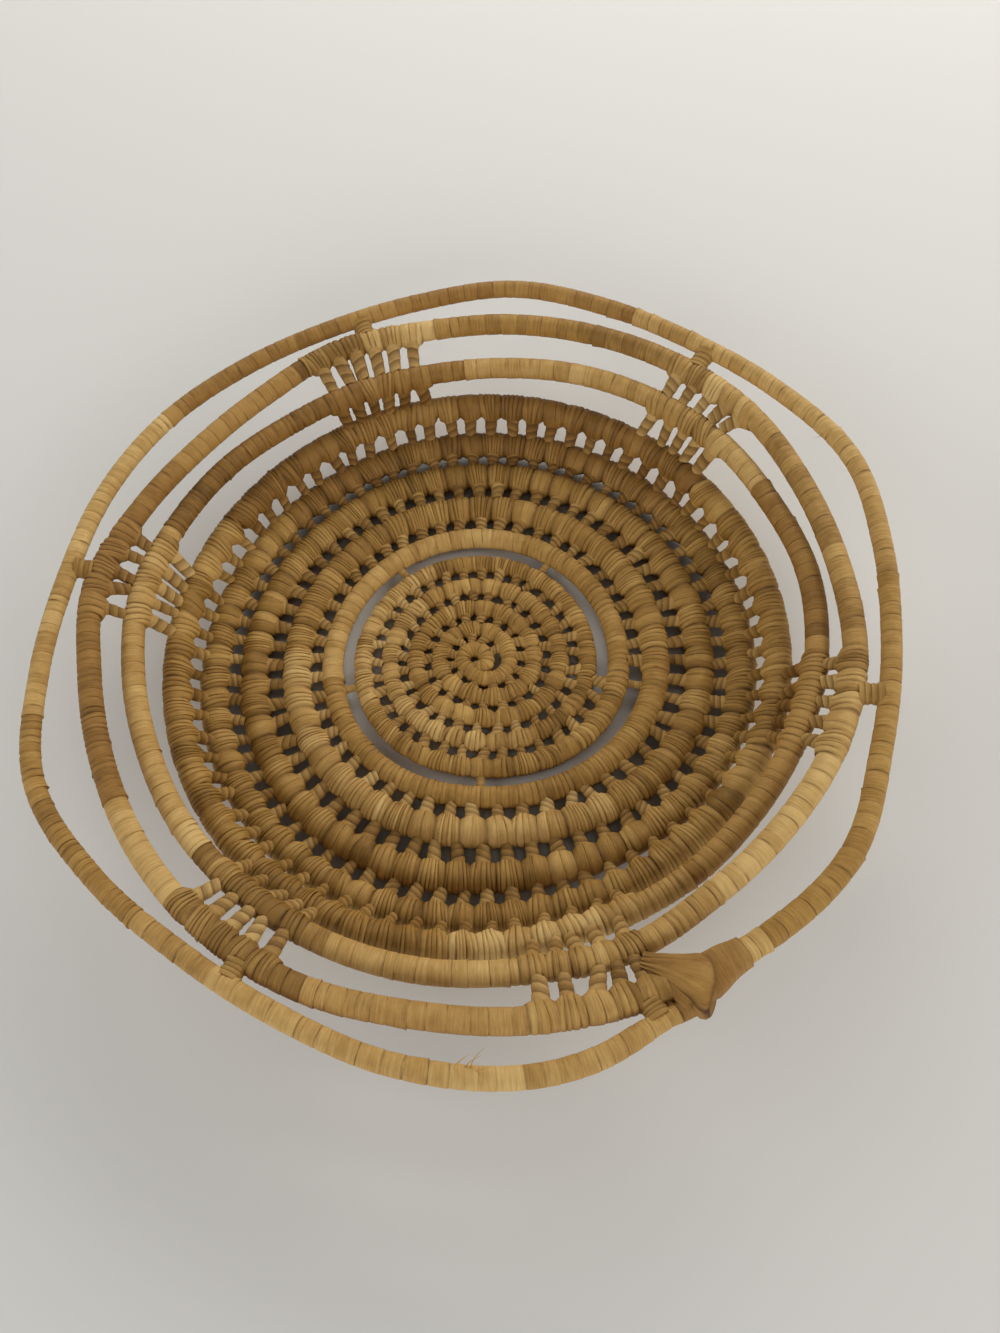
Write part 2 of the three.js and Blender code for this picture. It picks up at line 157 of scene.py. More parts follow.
# The coil starts with a tail that is tucked into the eye, so many turns long. It runs in to a small
# radius and gets thin: turns before the first row where that starts, and turns that it takes.
EYE_TAIL, EYE_RADIUS, EYE_WIDTH = 0.3, 1.0, 1.5
EYE_TUCK, EYE_TAPER = (0.05, 0.24), (0.12, 0.18)


def ease(x):
    x = np.clip(x, 0, 1)
    return x * x * (3 - 2 * x)


def mix(a, b, share):
    return a + (b - a) * share


def unit(vector):
    return vector / np.linalg.norm(vector)


def circle(sides):
    """Angles of the points of a ring, the last on the first."""
    return np.linspace(0, 2 * np.pi, sides + 1)


def lengths_along(path):
    return np.concatenate([[0], np.cumsum(np.linalg.norm(np.diff(path, axis=0), axis=1))])


# The course of the coil.
RADII, HEIGHTS, WIDTHS, CLIMBS = [], [], [], []
for count, (_, width, gap, rise, _) in enumerate(ROWS):
    pitch = gap + width + (WIDTHS[-1] if WIDTHS else 0)
    slope = math.radians(rise)
    RADII.append((RADII[-1] if RADII else 0) + pitch * math.cos(slope))
    HEIGHTS.append(HEIGHTS[-1] + pitch * math.sin(slope) if rise else width)
    WIDTHS.append(width)
    CLIMBS.append(mix(CLIMB_INNER, CLIMB_OUTER, count / LAST_ROW) / 360)
RADII, HEIGHTS, WIDTHS, CLIMBS = map(np.array, (RADII, HEIGHTS, WIDTHS, CLIMBS))


def turn_at(row, bearing):
    return row + ((bearing - ROW_START) % 360 - (CLIMB_END - ROW_START)) / 360


LAST_TURN = turn_at(LAST_ROW, COIL_END)
FIRST_SWAY = turn_at(FIRST_HOOP, ROW_START)


def sway_at(turn):
    """Sway of the coil, for an array of turns: a smooth curve through the named values."""
    place = (turn - FIRST_SWAY) * 360 / SWAY_STEP
    i = np.floor(place).astype(int)
    x = place - i
    a, b, c, d = (np.take(HOOP_SWAY, np.clip(i + k, 0, len(HOOP_SWAY) - 1)) for k in (-1, 0, 1, 2))
    return b + x / 2 * (c - a + x * (2 * a - 5 * b + 4 * c - d + x * (3 * (b - c) + d - a)))


def coil_centre(turn):
    """Middle of the coil, half its width and its radius, for an array of turns."""
    turn = np.asarray(turn, float)
    k = np.clip(np.floor(turn).astype(int), 0, LAST_ROW)
    after = np.minimum(k + 1, LAST_ROW)
    angle = np.radians(CLIMB_END + 360 * turn)
    climbed = ease((turn - (k + 1 - CLIMBS[after])) / CLIMBS[after])
    tucked, thinned = (ease((-turn - start) / run) for start, run in (EYE_TUCK, EYE_TAPER))
    radius = mix(RADII[k], RADII[after], climbed) + sway_at(turn)
    radius = mix(radius, EYE_RADIUS, tucked)
    width = mix(mix(WIDTHS[k], WIDTHS[after], climbed), EYE_WIDTH, thinned)
    height = mix(HEIGHTS[k], HEIGHTS[after], climbed)
    return np.stack([radius * np.cos(angle), radius * np.sin(angle), height], -1), width, radius


# A fine table of the course, to a little past the end of the coil: turns, middles, half widths, lengths
# along the coil, and the ways ahead, out to the side and up.
TABLE_STEPS, END_ROOM = 9400, 0.02
T_TABLE = np.linspace(-EYE_TAIL, LAST_TURN + END_ROOM, TABLE_STEPS)
C_TABLE, W_TABLE, _ = coil_centre(T_TABLE)
S_TABLE = lengths_along(C_TABLE)
AHEAD = np.gradient(C_TABLE, axis=0)
AHEAD /= np.linalg.norm(AHEAD, axis=1)[:, None]
SIDE = np.cross(AHEAD, [0, 0, 1])
SIDE /= np.linalg.norm(SIDE, axis=1)[:, None]
RISE = np.cross(SIDE, AHEAD)
# The last of the coil is drawn in towards the hoop inside it, and gets thinner, on its way into the
# knot: how far, and the length left where that starts and where it is done.
TAIL_IN, TAIL_DOWN, TAIL_BEND = 1.9, 0.6, (46, 20)
TAIL_THINNER, TAIL_TAPER = 0.25, (32, 16)
left = np.interp(LAST_TURN, T_TABLE, S_TABLE) - S_TABLE
bent, thinned = (ease((start - left) / (start - done)) for start, done in (TAIL_BEND, TAIL_TAPER))
C_TABLE = C_TABLE - bent[:, None] * (TAIL_IN * SIDE + TAIL_DOWN * RISE)
W_TABLE = W_TABLE * (1 - TAIL_THINNER * thinned)


def length_at(turn):
    return float(np.interp(turn, T_TABLE, S_TABLE))


def along_coil(s, table):
    """Values of a table at lengths along the coil."""
    if table.ndim == 1:
        return np.interp(s, S_TABLE, table)
    return np.stack([np.interp(s, S_TABLE, table[:, c]) for c in range(table.shape[1])], -1)


def round_coil(s, reach, angle):
    """Points round the coil, so far from its middle, at lengths along it and angles from its side."""
    centre, side, rise = (along_coil(s, table) for table in (C_TABLE, SIDE, RISE))
    spoke = np.cos(angle)[..., None] * side + np.sin(angle)[..., None] * rise
    return centre + reach[..., None] * spoke


def spot_on_coil(turn):
    """Centre, way ahead, side, rise and half width of the coil at a turn."""
    s = np.array([length_at(turn)])
    return [along_coil(s, table)[0] for table in (C_TABLE, AHEAD, SIDE, RISE, W_TABLE)]


def turns_for(length, turn):
    return length / (2 * math.pi * float(coil_centre(turn)[2]))


def seam(first, last, pitch):
    places = []
    turn = first + turns_for(pitch / 2, first)
    while turn < last:
        places.append(turn)
        turn += turns_for(pitch, turn)
    return places


def bunch(row, station, count):
    start = turn_at(row, station) - (count - 1) / 2 * BUNCH_PITCH / 360
    return [start + i * BUNCH_PITCH / 360 for i in range(count)]


KNOT_TURNS = (turn_at(LAST_ROW - 1, KNOT_FROM), turn_at(LAST_ROW - 1, KNOT_TO))


def under_knot(turn):
    room = turns_for(NECK_WIDTH, turn)
    return KNOT_TURNS[0] - room < turn < KNOT_TURNS[1] + room


BUNCHED = [
    turn for row in BUNCHED_HOOPS for place in zip(STATIONS, BUNCH_COUNTS) for turn in bunch(row, *place)
]
STITCHES = sorted(t for t in seam(*MEDALLION_SEAM) + seam(*BODY_SEAM) + BUNCHED if not under_knot(t))
STITCH_LENGTHS = np.array([length_at(t) for t in STITCHES])


def clear_of_stitches(turn):
    before = max([t for t in STITCHES if t <= turn], default=0)
    after = min([t for t in STITCHES if t > turn], default=LAST_TURN)
    room = min((after - before) / 2, turns_for(NECK_WIDTH, turn))
    return min(max(turn, before + room), after - room)


# The row inside is looked for between so many turns back, at so many places.
INSIDE_FROM, INSIDE_TO, INSIDE_TRIES = 1.35, 0.65, 700


def inside_of(turn):
    """The place on the row inside that lies nearest to a place on the coil."""
    here = coil_centre(turn)[0]
    tries = np.linspace(max(turn - INSIDE_FROM, 0), turn - INSIDE_TO, INSIDE_TRIES)
    return float(tries[np.argmin(np.linalg.norm(coil_centre(tries)[0] - here, axis=1))])


def link(turn):
    """The two places that a stitch or tie joins, and the way and the length from one to the other."""
    here, there = spot_on_coil(turn), spot_on_coil(inside_of(turn))
    way = there[0] - here[0]
    return here, there, unit(way), float(np.linalg.norm(way))


# Meshes: height below which no leaf goes, size of the pattern of fibres, in metres how close points are
# joined and how small a sliver is taken out, and the bend in degrees from which an edge stays sharp.
LOWEST = 0.02
UV_SCALE = 0.1
WELD, SLIVER = 2e-6, 1e-6
SHARP_BEND = 50


class Winding:
    """One mesh of wound leaf, put together from grids that are bent into place."""

    def __init__(self):
        self.blocks = []

    def add(self, points, tone, edge_shade, crease, u, v, lengthwise=False):
        """points: rings of points, the last of each ring on its first. The rest: one value a ring,
        or one a point. The two values after the tone are painted shade: along the grooves between wraps,
        and in creases. u: length along the winding. v: length round it. lengthwise: fibres run along
        the winding, not round it."""
        tips = [
            np.repeat(end.mean(1, keepdims=True), points.shape[1], 1)
            for end in (points[:1], points[-1:])
        ]
        points = np.concatenate([tips[0], points, tips[1]])
        points[..., 2] = np.maximum(points[..., 2], LOWEST)
        points[:, -1] = points[:, 0]
        shape = points.shape[:2]

        def spread(value):
            value = np.asarray(value, float).reshape(shape[0] - 2, -1)
            return np.broadcast_to(np.concatenate([value[:1], value, value[-1:]]), shape)

        u = np.concatenate([u[:1], u, u[-1:]])
        self.blocks.append((points, spread(tone), spread(edge_shade), spread(crease), u, v, lengthwise))

    def build(self, name, material):
        bm = bmesh.new()
        bm.loops.layers.uv.new("leaf")
        for points, *_ in self.blocks:
            rings, sides = points.shape[0] - 1, points.shape[1] - 1
            bmesh.ops.create_grid(bm, x_segments=rings, y_segments=sides, size=0.5, calc_uvs=True)
        mesh = bpy.data.meshes.new(name)
        bm.to_mesh(mesh)
        bm.free()
        flat = np.empty(len(mesh.loops) * 2)
        mesh.uv_layers[0].data.foreach_get("uv", flat)
        uv = flat.reshape(-1, 2)
        places = np.empty((len(mesh.vertices), 3))
        values = np.empty((3, len(mesh.vertices)))
        vert = loop = 0
        for points, tone, edge_shade, crease, u, v, lengthwise in self.blocks:
            rings, sides = points.shape[:2]
            size, corners = rings * sides, (rings - 1) * (sides - 1) * 4
            places[vert:vert + size] = points.transpose(1, 0, 2).reshape(-1, 3)
            for row, value in enumerate((tone, edge_shade, crease)):
                values[row, vert:vert + size] = value.T.reshape(-1)
            part = uv[loop:loop + corners]
            part[:, 0] = np.interp(part[:, 0] * (rings - 1), np.arange(rings), u)
            part[:, 1] = part[:, 1] * v
            if lengthwise:
                part[:] = part[:, ::-1].copy()
            vert, loop = vert + size, loop + corners
        mesh.vertices.foreach_set("co", (places * MM).reshape(-1))
        mesh.uv_layers[0].data.foreach_set("uv", (uv * UV_SCALE).reshape(-1))
        for row, label in enumerate(("tone", "edge_shade", "crease")):
            mesh.attributes.new(label, "FLOAT", "POINT").data.foreach_set("value", values[row])
        bm = bmesh.new()
        bm.from_mesh(mesh)
        bmesh.ops.remove_doubles(bm, verts=bm.verts, dist=WELD)
        bmesh.ops.dissolve_degenerate(bm, edges=bm.edges, dist=SLIVER)
        bmesh.ops.recalc_face_normals(bm, faces=bm.faces)
        bm.to_mesh(mesh)
        bm.free()
        mesh.shade_smooth()
        mesh.set_sharp_from_angle(angle=math.radians(SHARP_BEND))
        piece = bpy.data.objects.new(name, mesh)
        bpy.context.scene.collection.objects.link(piece)
        mesh.materials.append(material)
        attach(piece, "root")
        return piece


# The strips: points round a wrap. A bead is the leaf round one stitch: half its length where it stands
# alone, and how close the next stitch has to be for their beads to touch. A plain stretch no longer than
# this goes to the bead beside it. Past the first and the last stitch, the next counts as this far off.
WRAP_SIDES = 20
ROUND = circle(WRAP_SIDES)
HALF_BEAD, BEAD_REACH = 5.0, 15
SHORTEST_PLAIN = 1.2
NO_STITCH = 99


def found(patches, row, bearing):
    return [value for k, a, b, value in patches if k == row and a <= bearing % 360 < b]


def bearing_at(s):
    x, y, _ = along_coil(np.array([s]), C_TABLE)[0]
    return math.degrees(math.atan2(y, x))


def stretches_of(start, end, stitches):
    """Cut a strip into beads, each round its stitch, and plain stretches between them. A bead: its
    two ends, its stitch, and whether the next bead is close on either side."""
    out = []
    at = start
    for spot in stitches:
        i = int(np.argmin(np.abs(STITCH_LENGTHS - spot)))
        gaps = [
            abs(STITCH_LENGTHS[j] - spot) if 0 <= j < len(STITCH_LENGTHS) else NO_STITCH
            for j in (i - 1, i + 1)
        ]
        close = [gap < BEAD_REACH for gap in gaps]
        halves = [gap / 2 if near else HALF_BEAD for gap, near in zip(gaps, close)]
        low, high = max(spot - halves[0], start), min(spot + halves[1], end)
        if low - at > SHORTEST_PLAIN:
            out.append((at, low, None, close))
        else:
            low = at
        out.append((low, high, spot, close))
        at = high
    if end - at > SHORTEST_PLAIN or not out:
        out.append((at, end, None, (False, False)))
    else:
        out[-1] = (out[-1][0], end, *out[-1][2:])
    return out


# What differs at random, as least and most or as mean and spread. Of a strip: its tone, which drifts
# along it from wrap to wrap and keeps this share.
FIRST_DRIFT, DRIFT = (-0.08, 0.08), (0, 0.04)
DRIFT_KEPT = 0.8
MEAN_TONE = 0.5
# Of a bead: its tone, how much it bulges, how its pleats lean and how far they are drawn in.
BEAD_TONE, BEAD_BULGE, BEAD_LEAN, BEAD_DRAW = (0, 0.11), (0.65, 1.3), (0.2, 0.5), (0.8, 1.2)
# Of a pleat and of a wrap: width in parts of the mean, tone, rise, slant, and the painted shade line in
# the groove at its edge.
CUT_WIDTH = (0.6, 1.4)
PLEAT_TONE, WRAP_TONE = (0, 0.09), (0, 0.06)
PLEAT_RISE, WRAP_RISE = (0.3, 0.6), (0.18, 0.42)
PLEAT_SLANT, WRAP_SLANT = 0.1, (0.25, 0.2)
PLEAT_LINE = (0.6, 1)
# From one bearing round to the other the hoops have strong painted shade lines. Elsewhere a line may be
# faint.
STRONG_FROM, STRONG_TO = 283, 30
STRONG_LINE, FAINT_LINE = 0.85, 0.25
# The painted shade line at a wrap's far edge, in parts of that at its near one.
FAR_LINE = 0.6
# Corners of leaf that stand out: how many wraps have one, how far, how they lie, and how much of that is
# left on the way to the wrap's far edge.
CORNER_CHANCE, CORNER_SIZE, CORNER_SPREAD, CORNER_SLOPE = 0.16, (0.3, 1.0), 0.5, 0.4
# How deep the crease between two beads is and how high a bead swells at its stitch, in parts of the
# row's crease, and the powers by which both, and the drawing in of pleats, change along a bead.
CREASE_DEPTH, BEAD_SWELL = 1.6, 0.55
CREASE_POWER, SWELL_POWER, DRAWN_POWER = 3, 1.5, 5


def strip_rings(start, end, row, stitches, towards, rng):
    """Rings of one strip of leaf between two lengths along the coil. Each ring: where it is tied to,
    how far from there, how far its pleat is drawn in, lift of the leaf, crease, tone, painted shade
    in the grooves between wraps, slant, a corner of leaf that stands out and its angle, the angle
    towards the stitch, half the width of its neck, how far the leaf is pulled that way and how far up the
    neck."""
    plain, pleat, bead, draw, neck, tuck, climb = WRAPPING[row]
    rings = []
    drift = rng.uniform(*FIRST_DRIFT)
    for low, high, spot, close in stretches_of(start, end, stitches):
        bearing = bearing_at((low + high) / 2)
        tied = spot is not None
        width = pleat * rng.choice(GATHERS) if tied else (found(WRAP_PATCHES, row, bearing) or [plain])[0]
        count = max(2 if tied else 1, round((high - low) / width))
        cuts = np.cumsum([0] + [rng.uniform(*CUT_WIDTH) for _ in range(count)])
        cuts = low + (high - low) * cuts / cuts[-1]
        bead_tone, bulge, lean = rng.gauss(*BEAD_TONE), rng.uniform(*BEAD_BULGE), rng.gauss(*BEAD_LEAN)
        drawn = draw * rng.uniform(*BEAD_DRAW)
        strong = bearing % 360 > STRONG_FROM or bearing % 360 < STRONG_TO
        faintest = STRONG_LINE if row >= FIRST_HOOP and strong else FAINT_LINE
        for a, b in zip(cuts[:-1], cuts[1:]):
            drift = DRIFT_KEPT * drift + rng.gauss(*DRIFT)
            tone = MEAN_TONE + drift + sum(found(TONE_PATCHES, row, bearing_at(a)))
            tone += bead_tone + rng.gauss(*PLEAT_TONE) if tied else rng.gauss(*WRAP_TONE)
            rise = rng.uniform(*(PLEAT_RISE if tied else WRAP_RISE))
            slant = rng.gauss(lean, PLEAT_SLANT) if tied else rng.gauss(*WRAP_SLANT)
            line = rng.uniform(*PLEAT_LINE) if tied else rng.uniform(faintest, 1)
            corner = rng.uniform(*CORNER_SIZE) if rng.random() < CORNER_CHANCE else 0
            corner_at = rng.choice([0, math.pi]) + rng.gauss(0, CORNER_SPREAD)
            for share, high_up in FOLDS[sum(b - a <= width for width in FOLD_WIDTHS)]:
                s = mix(a, b, share)
                q = crease = 0
                if tied:
                    late = int(s > spot)
                    q = abs((s - spot) / (high - spot if late else low - spot))
                    if close[late]:
                        deep = CREASE_DEPTH * q ** CREASE_POWER - BEAD_SWELL
                    else:
                        deep = -BEAD_SWELL * (1 - q) ** SWELL_POWER
                    crease = bead * bulge * deep
                rings.append((
                    spot if tied else s, s - spot if tied else 0,
                    drawn * (1 - q ** DRAWN_POWER) if tied else 0, rise * high_up, crease, tone,
                    line if share == 0 else line * FAR_LINE if share == 1 else 0,
                    slant, corner if share == 1 else corner * CORNER_SLOPE * share, corner_at,
                    towards.get(spot, math.pi), neck, tuck if tied else 0, climb * neck if tied else 0,
                ))
    return rings


# How narrowly round the coil pleats are drawn in, leaf is pulled towards the stitch and up its neck, and
# a corner stands out, as powers. Where round the coil a slanting wrap is furthest along.
DRAW_POWER, TUCK_POWER, CLIMB_POWER, CORNER_POWER = 1.3, 2, 4, 10
SLANT_AT = 0.6
# Depth of a crease away from the stitch, and how much more it has towards it, in parts. How far along
# the coil a neck draws leaf up, in parts of its half width.
CREASE_PART, CREASE_MORE = 0.85, 0.3
NECK_DRAW = 1.2
# The end of a strip is lifted, more on one side than on the other, and its start is pressed down: how
# far, over what length, and how the lift goes round the coil. A full turn, near enough.
END_LIFT, END_RUN, END_ROUND = 0.55, 1.1, (0.65, 0.35)
START_DOWN, START_RUN = 0.45, 1.0
FULL_TURN = 6.28
# Painted shade lines in the grooves between wraps come and go round the coil, for each tone in another
# way: mean, swing, least, and how much the tone shifts the two waves. Depth at which the painted shade
# in a crease is darkest.
LINE_MEAN, LINE_SWING, LINE_LEAST, LINE_SHIFTS = 0.75, 0.6, 0.1, (7, 31)
FULL_SHADE_DEPTH = 0.8


def add_strip(winding, start, end, row, stitches, towards, rng):
    """Wind one strip of leaf, with its end lifted a little where the next strip starts under it."""
    table = np.array(strip_rings(start, end, row, stitches, towards, rng))
    (anchor, away, drawn, lift, crease, tone, edge_shade, slant,
     corner, corner_at, toward, neck, tuck, climb) = table.T[:, :, None]
    angle = ROUND[None, :]
    inner = (1 + np.cos(angle - toward)) / 2
    s = anchor + away * (1 - drawn * inner ** DRAW_POWER) + slant * np.sin(angle + SLANT_AT)
    s = np.clip(s, start, end)
    width = along_coil(s, W_TABLE)
    reach = width + lift - crease * (CREASE_PART + CREASE_MORE * inner) + tuck * inner ** TUCK_POWER
    reach = reach + corner * np.clip(np.cos(angle - corner_at), 0, 1) ** CORNER_POWER
    near = np.exp(-((s - anchor) / (NECK_DRAW * neck)) ** 2)
    reach = reach + climb * near * np.clip(np.cos(angle - toward), 0, 1) ** CLIMB_POWER
    flare = END_ROUND[0] + END_ROUND[1] * np.cos(angle - rng.uniform(0, FULL_TURN))
    reach = reach + END_LIFT * np.exp(-(end - s) / END_RUN) * flare
    reach = reach - START_DOWN * np.exp(-(s - start) / START_RUN)
    # Painted shade: lines along the grooves at the edges of wraps, and shade in the creases, deeper on
    # the side towards the stitch.
    wander = np.cos(2 * angle + LINE_SHIFTS[0] * tone) * np.cos(angle + LINE_SHIFTS[1] * tone)
    edge_shade = edge_shade * np.clip(LINE_MEAN + LINE_SWING * wander, LINE_LEAST, 1)
    crease_shade = np.clip(crease / FULL_SHADE_DEPTH, 0, 1) * (1 + inner) / 2
    length = (anchor + away)[:, 0]
    points = round_coil(s, reach, angle)
    winding.add(points, tone, edge_shade, crease_shade, length, float(width.mean()) * FULL_TURN)


# A wound neck. Start and end of each wrap: how far through its step, and how much it swells. How much
# the swelling and the tone differ at random, the painted shade line in the step at the end of a wrap and
# at the very first one, how deep in painted shadow the neck is, and its length round in parts of half its
# width.
TUBE_WRAP = ((0, -0.04), (0.93, 0.05))
TUBE_UNEVEN, TUBE_TONE = 0.03, 0.07
TUBE_END_LINE, TUBE_FIRST_LINE, TUBE_SHADOW = 0.2, 0.3, 0.12
TUBE_ROUND = 6


def wound_tube(winding, path, half_a, half_b, axis, tone, turns, rng, sides, tilt, line):
    """A bundle wound in leaf along a path: rings in pairs, with a step between the wraps. half_a and
    half_b: half its width along the axis and across it, at each point of the path."""
    count = len(path)
    steps = np.arange(count)
    along = lengths_along(path)
    forwards = np.gradient(path, axis=0)
    angle = circle(sides)

    def pick(table, x):
        return np.array([np.interp(x, steps, table[:, c]) for c in range(3)])

    rings, tones, edges, lengths = [], [], [], []
    for wrap in range(turns):
        shade = rng.gauss(tone, TUBE_TONE)
        for (share, swelling), dark in zip(TUBE_WRAP, (line, TUBE_END_LINE)):
            x = (count - 1) * (wrap + share) / turns
            centre, forward = pick(path, x), unit(pick(forwards, x))
            across = unit(axis - forward * axis.dot(forward))
            over = np.cross(forward, across)
            swell = 1 + swelling + rng.uniform(-TUBE_UNEVEN, TUBE_UNEVEN)
            a = np.interp(x, steps, half_a) * swell
            b = np.interp(x, steps, half_b) * swell
            ring = centre + np.outer(a * np.cos(angle), across) + np.outer(b * np.sin(angle), over)
            rings.append(ring + np.outer(tilt * a * np.cos(angle), forward))
            tones.append(shade)
            edges.append(dark)
            lengths.append(np.interp(x, steps, along))
    edges[0] = TUBE_FIRST_LINE
    winding.add(np.array(rings), tones, edges, np.full(len(tones), TUBE_SHADOW), np.array(lengths),
                TUBE_ROUND * float(np.mean(half_a)))


# The neck of a stitch: points of its path, wraps, sides, how deep its two ends lie in their rows, how
# far it stands above the line from row to row, its lean along the coil, how its thickness differs from
# stitch to stitch and along it, how flat it is, and the tilt and the painted shade line of its wraps.
STITCH_POINTS, STITCH_WRAPS, STITCH_SIDES = 7, 3, 8
STITCH_DEPTH, STITCH_LIFT, STITCH_LEAN = (0.6, 0.9), 1.0, 0.3
STITCH_THICK, STITCH_FLAT = (0.88, 1.14), (0.78, 0.95)
STITCH_TAPER = ([0, 0.2, 0.55, 0.85, 1], [1.16, 1.04, 1.02, 0.9, 0.86])
STITCH_TILT, STITCH_LINE = (0.15, 0.5), 0.8


def add_stitch(winding, turn, neck, loose, tone, rng):
    """The neck of a stitch, wound in leaf, from a row to the row inside it."""
    (here, ahead, *_, width), (*_, width_in), way, gap = link(turn)
    lean = ahead * rng.gauss(STITCH_LEAN, loose)
    share = np.linspace(0, 1, STITCH_POINTS)
    run = mix(width - STITCH_DEPTH[0], gap - width_in + STITCH_DEPTH[1], share)
    path = here + np.outer(run, way) + np.outer(share, lean)
    face = unit(np.cross(ahead, way))
    path = path + face * np.sign(face[2]) * STITCH_LIFT
    half_a = neck * rng.uniform(*STITCH_THICK) * np.interp(share, *STITCH_TAPER)
    half_b = half_a * rng.uniform(*STITCH_FLAT)
    tilt = rng.choice((-1, 1)) * rng.uniform(*STITCH_TILT)
    wound_tube(winding, path, half_a, half_b, ahead, tone, STITCH_WRAPS, rng, STITCH_SIDES, tilt,
               STITCH_LINE)


# A tie, in the same way. It is wider at its ends, and its tone differs at random.
TIE_POINTS, TIE_WRAPS, TIE_SIDES = 9, 4, 14
TIE_DEPTH, TIE_FLAT = 2.0, 0.8
TIE_TAPER = ([0, 0.25, 0.5, 0.75, 1], [1.3, 1.04, 0.96, 1.02, 1.3])
TIE_TONE = (0.72, 0.05)
TIE_TILT, TIE_LINE = 0.18, 0.55


def add_tie(winding, turn, neck, rng):
    """A tie: a stout wound neck between two rows, wider where it meets them."""
    (here, ahead, *_, width), (*_, width_in), way, gap = link(turn)
    share = np.linspace(0, 1, TIE_POINTS)
    path = here + np.outer(mix(width - TIE_DEPTH, gap - width_in + TIE_DEPTH, share), way)
    half_a = neck * np.interp(share, *TIE_TAPER)
    tone = rng.gauss(*TIE_TONE)
    wound_tube(winding, path, half_a, half_a * TIE_FLAT, ahead, tone, TIE_WRAPS, rng, TIE_SIDES, TIE_TILT,
               TIE_LINE)


# A band: how far along its three rings lie, with their painted shade lines, how much it rises over its
# length, where round the coil it is furthest along, how its tone and its lean differ, and its length
# round.
BAND_RINGS = ((0, 0.6), (0.5, 0), (1, 0.3))
BAND_FILL, BAND_RISE, BAND_LEAN_AT = 0.97, 0.3, 0.4
BAND_TONE, BAND_LEAN = 0.07, (0.5, 0.2)
BAND_ROUND = 26


def add_band(winding, s_mid, half, lift, tone, rng):
    """A short band of leaf round the coil."""
    shade, lean = rng.gauss(tone, BAND_TONE), rng.gauss(*BAND_LEAN)
    rings, edges, lengths = [], [], []
    for share, line in BAND_RINGS:
        s = s_mid - half + 2 * half * (share * BAND_FILL) + lean * np.sin(ROUND + BAND_LEAN_AT)
        rings.append(round_coil(s, along_coil(s, W_TABLE) + lift + BAND_RISE * (share - 0.5), ROUND))
        edges.append(line)
        lengths.append(s.mean())
    count = len(rings)
    winding.add(np.array(rings), np.full(count, shade), edges, np.zeros(count), np.array(lengths),
                BAND_ROUND)


# A hair: points along it and round it, how much it tapers, a way that no hair takes, its length round,
# its thickness and tone, how deep it is rooted and how it bends along the coil.
HAIR_POINTS, HAIR_SIDES = 7, 4
HAIR_TAPER, HAIR_ASIDE, HAIR_ROUND = 0.85, [0.3, 0.2, 1], 1
HAIR_THICK, HAIR_TONE, HAIR_ROOT, HAIR_BEND = 0.22, 0.6, 0.3, 0.5


def add_hair(winding, start, way, bend, length):
    """A loose hair of leaf that tapers to its tip."""
    share = np.linspace(0, 1, HAIR_POINTS)[:, None]
    path = start + way * share * length + bend * share ** 2 * length
    angle = circle(HAIR_SIDES)
    forwards = np.gradient(path, axis=0)
    rings = []
    for point, forward, x in zip(path, forwards, share[:, 0]):
        across = unit(np.cross(forward, HAIR_ASIDE))
        over = unit(np.cross(forward, across))
        size = HAIR_THICK * (1 - HAIR_TAPER * x)
        rings.append(point + size * (np.outer(np.cos(angle), across) + np.outer(np.sin(angle), over)))
    none = np.zeros(HAIR_POINTS)
    winding.add(np.array(rings), none + HAIR_TONE, none, none, share[:, 0] * length, HAIR_ROUND)


# Finishes. Noises in the leaf, as scale, detail and roughness: streaks, drawn out along the fibres, and
# blotches. Both are added to the tone of a wrap, which then picks the colour.
LEAF_ROUGHNESS, LEAF_SHEEN = 0.58, 0.22
STREAK_STRETCH = (9, 0.55, 1)
STREAK_NOISE, STREAK_SHARE = (1.7, 5, 0.7), 1.25
BLOTCH_NOISE, BLOTCH_SHARE = (130, 4, 0.6), 0.6
TONE_SHIFT = -0.92
DARK_AT, MIDDLE_AT, PALE_AT = 0.05, 0.5, 0.98
# Colour of the painted shade, along the dark lines in the grooves between wraps and in creases, the
# power by which the lines fade, and how dark the painted shade in a crease gets. Bump of the streaks.
SHADE_COLOUR = (0.2, 0.13, 0.07, 1)
LINE_POWER, CREASE_SHADE = 1.2, 0.8
BUMP_STRENGTH, BUMP_DEPTH = 0.6, 0.0005
# The finish of each slot, and its pale, middle and dark colours.
LEAF_COLOURS = {
    "leaf_straw": ("straw_leaf", (0.67, 0.45, 0.17), (0.47, 0.275, 0.08), (0.25, 0.13, 0.028)),
    "leaf_tan": ("tan_leaf", (0.56, 0.345, 0.105), (0.365, 0.198, 0.045), (0.18, 0.09, 0.016)),
    "leaf_brown": ("brown_leaf", (0.44, 0.25, 0.068), (0.29, 0.145, 0.032), (0.14, 0.067, 0.012)),
    "stems": ("grass_stems", (0.5, 0.37, 0.16), (0.32, 0.21, 0.08), (0.14, 0.085, 0.03)),
}


